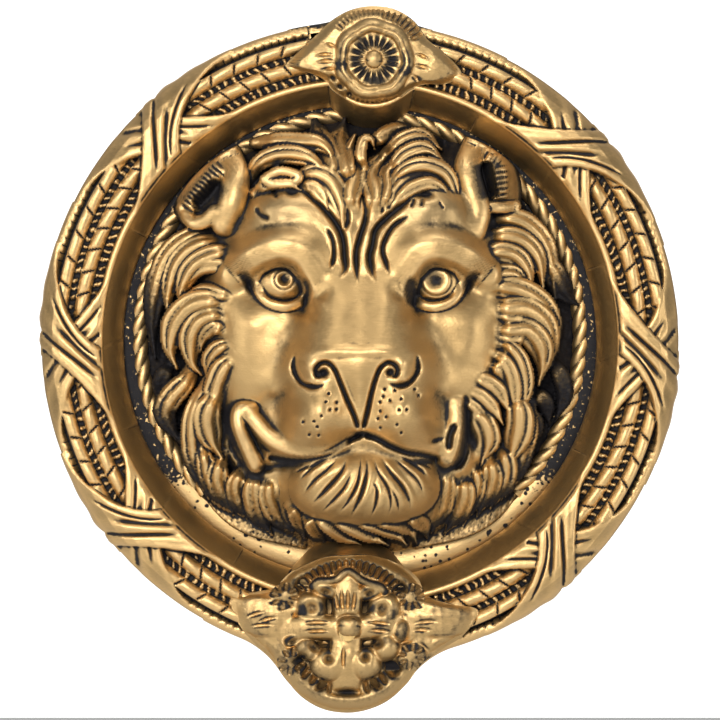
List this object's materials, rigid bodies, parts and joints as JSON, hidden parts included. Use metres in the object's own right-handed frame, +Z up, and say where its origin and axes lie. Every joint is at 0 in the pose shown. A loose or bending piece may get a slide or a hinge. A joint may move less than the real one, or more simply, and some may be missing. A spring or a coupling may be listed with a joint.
{
  "type": "door knocker",
  "caption": "Large brass door knocker: a lion's mask on a round plate, inside a wreath ring that hangs from a hinge behind its upper rosette and strikes below.",
  "frame": {"origin": "centre of the backplate, on the face that rests on the door", "axes": "+Z up the door, +X to the right seen from the front, +Y into the door; the mask looks along -Y"},
  "size_m": [0.1943, 0.1171, 0.2111],
  "materials": {
    "antique_brass": "cast brass, hand-relieved satin with dark brown patina in the recesses",
    "plain_brass": "turned satin",
    "steel": "zinc plated",
    "bronze": "sintered bronze"
  },
  "bodies": {
    "plate": {"backplate": "antique_brass", "lion_mask": "antique_brass", "rope_border": "antique_brass", "mask_screws": "steel", "mounting_studs": "steel", "stud_jam_nuts": "steel", "door_washers": "plain_brass", "door_nuts": "plain_brass", "strike_button": "plain_brass", "hinge_pin": "steel", "pin_grub_screws": "steel"},
    "ring": {"knocker_ring": "antique_brass", "hinge_barrel": "plain_brass", "barrel_screws": "steel", "left_hinge_bush": "bronze", "right_hinge_bush": "bronze", "upper_medallion": "antique_brass", "upper_rosette": "antique_brass", "lower_medallion": "antique_brass", "lower_flower": "antique_brass", "striker_knob": "plain_brass"}
  },
  "joints": [
    {"name": "ring_swing", "type": "hinge", "parent": "plate", "child": "ring", "pos_m": [0, -0.0118, 0.0865], "axis": [-1, 0, 0], "range_deg": [0, 70]}
  ]
}
